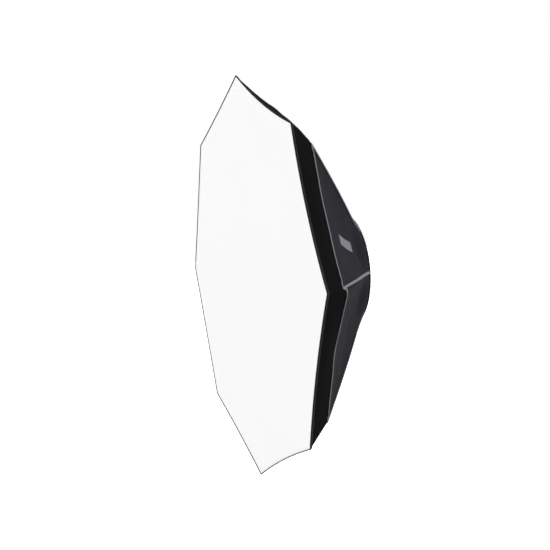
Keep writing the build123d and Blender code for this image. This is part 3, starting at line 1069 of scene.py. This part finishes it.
def dome(radius, height, lip, count=9):
    """Half profile of a snap: a flat foot, a rounded lip and a domed top that closes."""
    bend = np.linspace(0, math.pi / 2, count)
    top = np.stack([radius * 0.82 * np.cos(bend), lip + (height - lip) * np.sin(bend)], -1)
    foot = np.array([[0.0, 0.0], [radius, 0.0], [radius, lip * 0.7], [radius * 0.93, lip]])
    return np.maximum(np.concatenate([foot, top]), [1e-5, 0])


steel_snap, tree, shader = new_finish("steel_snap", Metallic=1.0, Roughness=0.22)
snap_place = tree.nodes.new("ShaderNodeTexCoord").outputs["Object"]
snap_scratch = noise(tree, snap_place, 900.0, 4.0)
snap_colour = colour_between(tree, snap_scratch, grey(0.55), grey(0.78))
tree.links.new(snap_colour, shader.inputs["Base Color"])
for gore in GORES:
    place = spot(turn_of(gore) + HALF, strap_from + STRAP_LAP / 2, snap_from)
    profile = dome(SNAP_R, snap_to - snap_from, 0.8 * MM)
    snap = turned(f"strap_snap_{gore}", place, (0, -1, 0), profile, 32, steel_snap)
    go_in(snap, gore)
    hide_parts("strap_snaps")
print("snaps:", SIDES)

# %% [markdown]
# The tip of each rod stands in a cup of black tape inside the front corner. The cup follows
# the line of the tip cap, which is steeper than the rod's chord because the rod is bowed.

# %% Corner pockets
CUP_R = 5.0 * MM
CUP_INSIDE_R = 4.0 * MM
CUP_LENGTH = 12.5 * MM
CUP_BEYOND_CAP = 7.2 * MM
TIP_LINE = unit(np.array([0.763, 0.646]))


def cup_profile():
    """Closed cup: out along the floor, up the outside, over a rounded lip and down inside."""
    lip = np.linspace(0, math.pi, 7)
    middle, half = (CUP_R + CUP_INSIDE_R) / 2, (CUP_R - CUP_INSIDE_R) / 2
    top = np.stack([middle + half * np.cos(lip), -CUP_LENGTH - half * np.sin(lip)], -1)
    foot = np.array([[1e-5, 0.0], [CUP_R * 0.8, 0.0], [CUP_R, -0.8 * MM]])
    inside = np.array([[CUP_INSIDE_R, -1.6 * MM], [1e-5, -1.5 * MM]])
    return np.concatenate([foot, top, inside])[::-1]


tip_low, tip_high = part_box("tip_cap_1")
tip_mid = np.array([(tip_low[2] + tip_high[2]) / 2, -(tip_low[1] + tip_high[1]) / 2])
for gore in GORES:
    turn = turn_of(gore)
    floor = tip_mid + TIP_LINE * CUP_BEYOND_CAP
    place, axis = spot(turn, floor[0], floor[1]), spot(turn, TIP_LINE[0], TIP_LINE[1])
    cup = turned(f"corner_pocket_{gore}", place, axis, cup_profile(), 28, edge_tape)
    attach(cup, f"rod_{gore}")
    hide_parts("corner_pockets")
print("corner pockets:", SIDES)

# %% [markdown]
# The cuff is a gathered elastic band that grips the ring and rolls over the shell's hem. Its
# profile runs along the ring, over the rim and down on to the shell; the gathers are a wave
# in its radius.

# %% Cuff
# The section's points are millimetres outside the ring and millimetres of depth.
GATHERS = 96
CUFF_SECTION = [
    (0.2, 12.0), (0.2, 3.6), (0.5, 2.6), (1.6, 2.1), (3.6, 2.1), (6.2, 2.5), (8.6, 3.1),
    (10.2, 4.0), (10.8, 5.2), (10.2, 6.0), (8.6, 5.4), (4.6, 4.6), (1.3, 4.6), (1.0, 5.6),
    (1.0, 12.0), (0.2, 12.0),
]


def gathers(angle, share):
    """Radius scale of the gathers: 0.4 % deep, and smooth on the ring."""
    return 1 + 0.004 * np.sin(angle * GATHERS) * np.sin(math.pi * share) ** 2


cuff_profile = np.array(CUFF_SECTION) * MM + np.array([ring_r, 0.0])
cuff = turned(
    "rear_cuff_band", np.zeros(3), (0, -1, 0), cuff_profile, 8 * GATHERS, cuff_cloth, gathers
)
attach(cuff, "ring")
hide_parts("rear_cuff")
print("cuff faces:", len(cuff.data.polygons))

# %% [markdown]
# ## Metal and moulded finishes
#
# The hardware is CAD geometry as it stands; only its finishes are made here. Turned alloy has
# fine rings round the axis, black coat has a pebbled surface, drawn steel is streaked along
# the rod, and moulded nylon is finely grained.

# %% Hardware finishes
def object_place(tree):
    """Object coordinates of a material's tree."""
    return tree.nodes.new("ShaderNodeTexCoord").outputs["Object"]


def rings_finish(name, dark, light):
    """Turned metal: noise that depends only on the distance from the optical axis."""
    material, tree, shader = new_finish(name, Metallic=1.0)
    maths = Maths(tree)
    parts = tree.nodes.new("ShaderNodeSeparateXYZ")
    tree.links.new(object_place(tree), parts.inputs[0])
    squares = [maths("POWER", parts.outputs[axis], 2.0) for axis in "XZ"]
    across = maths("SQRT", maths("ADD", *squares))
    joined = tree.nodes.new("ShaderNodeCombineXYZ")
    tree.links.new(across, joined.inputs["X"])
    tree.links.new(parts.outputs["Y"], joined.inputs["Y"])
    lines = noise(tree, joined.outputs[0], 2600.0, 3.0)
    smear = noise(tree, object_place(tree), 60.0, 4.0)
    tree.links.new(colour_between(tree, smear, dark, light), shader.inputs["Base Color"])
    tree.links.new(maths("ADD", 0.26, maths("MULTIPLY", lines, 0.18)), shader.inputs["Roughness"])
    bump(tree, shader, lines, 0.00004)
    return material


def grained_finish(name, dark, light, scale, depth, rough_from, rough_by, **plain):
    """Grained surface: fine noise bumps it, broad noise colours it and changes its gloss."""
    material, tree, shader = new_finish(name, **plain)
    maths = Maths(tree)
    fine = noise(tree, object_place(tree), scale, 2.0)
    broad = noise(tree, object_place(tree), 40.0, 5.0)
    tree.links.new(colour_between(tree, broad, dark, light), shader.inputs["Base Color"])
    rough = maths("ADD", rough_from, maths("MULTIPLY", broad, rough_by))
    tree.links.new(rough, shader.inputs["Roughness"])
    bump(tree, shader, fine, depth)
    return material


alloy = rings_finish("turned_alloy", grey(0.36), grey(0.5))
black_alloy = grained_finish(
    "black_coat", grey(0.018), grey(0.03), 1500.0, 0.00005, 0.42, 0.25,
    Metallic=0.0, Coat_Weight=0.15,
)
screw_steel = grained_finish(
    "plain_steel", grey(0.35), grey(0.5), 1200.0, 0.00002, 0.2, 0.25, Metallic=1.0
)
felt = grained_finish("felt", grey(0.03), grey(0.07), 2500.0, 0.0002, 0.85, 0.1, Sheen_Weight=0.4)
nylon = grained_finish("moulded_nylon", grey(0.015), grey(0.026), 2200.0, 0.00004, 0.4, 0.2)
spring_steel = grained_finish(
    "spring_steel", grey(0.42), grey(0.56), 700.0, 0.00002, 0.22, 0.2, Metallic=1.0
)

HARDWARE = {
    "bayonet_adapter": alloy, "retaining_ring": alloy, "adapter_screws": screw_steel,
    "friction_washer": felt, "speed_ring": black_alloy, "hinge_pins": screw_steel,
}
for gore in GORES:
    HARDWARE[f"rod_foot_{gore}"] = nylon
    HARDWARE[f"rod_{gore}"] = spring_steel
    HARDWARE[f"tip_cap_{gore}"] = nylon
for node, finish in HARDWARE.items():
    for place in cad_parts[node].material_slots:
        place.material = finish
print("hardware nodes finished:", len(HARDWARE))

# %% [markdown]
# ## Floor, world and lights
#
# A plain white floor lies well below the softbox, which a flash head would hold in the air. The
# background the camera sees is white, while the light that the background gives is weaker, so
# that the dark cloth stays dark. Two wide, soft suns give the cloth its shape: one from above,
# behind and to the right, and one that faces the diffuser.

# %% Floor and light
FLOOR_BELOW = 0.78
FLOOR_HALF = 12.0
WORLD_LIGHT = 0.42
SUNS = {
    "rear_sun": ((0.2, 0.5, 0.84), 2.4, 40.0),
    "front_sun": ((0.3, -0.9, 0.3), 1.75, 60.0),
}


def make_floor():
    """Flat square floor."""
    corners = np.array([[-1, -1], [1, -1], [1, 1], [-1, 1]]) * FLOOR_HALF
    mesh = bpy.data.meshes.new("floor")
    mesh.from_pydata([(x, y, -FLOOR_BELOW) for x, y in corners.tolist()], [], [(0, 1, 2, 3)])
    floor = bpy.data.objects.new("floor", mesh)
    bpy.context.collection.objects.link(floor)
    paper, tree, shader = new_finish(
        "floor_paper", Base_Color=(0.6, 0.6, 0.6, 1), Roughness=0.9, Emission_Color=(1, 1, 1, 1)
    )
    seen = tree.nodes.new("ShaderNodeLightPath").outputs["Is Camera Ray"]
    tree.links.new(seen, shader.inputs["Emission Strength"])
    mesh.materials.append(paper)
    return floor


def make_world():
    """White for the camera, and weaker for every other ray."""
    world = bpy.data.worlds.new("studio")
    world.use_nodes = True
    tree = world.node_tree
    background = tree.nodes["Background"]
    background.inputs["Color"].default_value = (1, 1, 1, 1)
    ray = tree.nodes.new("ShaderNodeLightPath").outputs["Is Camera Ray"]
    seen = tree.nodes.new("ShaderNodeMath")
    seen.operation = "MULTIPLY_ADD"
    tree.links.new(ray, seen.inputs[0])
    seen.inputs[1].default_value = 1.0 - WORLD_LIGHT
    seen.inputs[2].default_value = WORLD_LIGHT
    tree.links.new(seen.outputs[0], background.inputs["Strength"])
    bpy.context.scene.world = world


def make_sun(name, towards, strength, spread):
    """Sun whose light comes from a direction; spread is its width in degrees."""
    data = bpy.data.lights.new(name, "SUN")
    data.energy = strength
    data.angle = math.radians(spread)
    light = bpy.data.objects.new(name, data)
    bpy.context.collection.objects.link(light)
    back = unit(np.array(towards))
    side = unit(np.cross([0, 0, 1.0], back))
    matrix = np.eye(4)
    matrix[:3, :3] = np.stack([side, np.cross(back, side), back], -1)
    light.matrix_world = Matrix(matrix.tolist())
    return light


make_floor()
make_world()
bpy.context.scene.view_settings.view_transform = "Standard"
for name, (towards, strength, spread) in SUNS.items():
    make_sun(name, towards, strength, spread)
print("lights:", [light.name for light in bpy.data.lights])
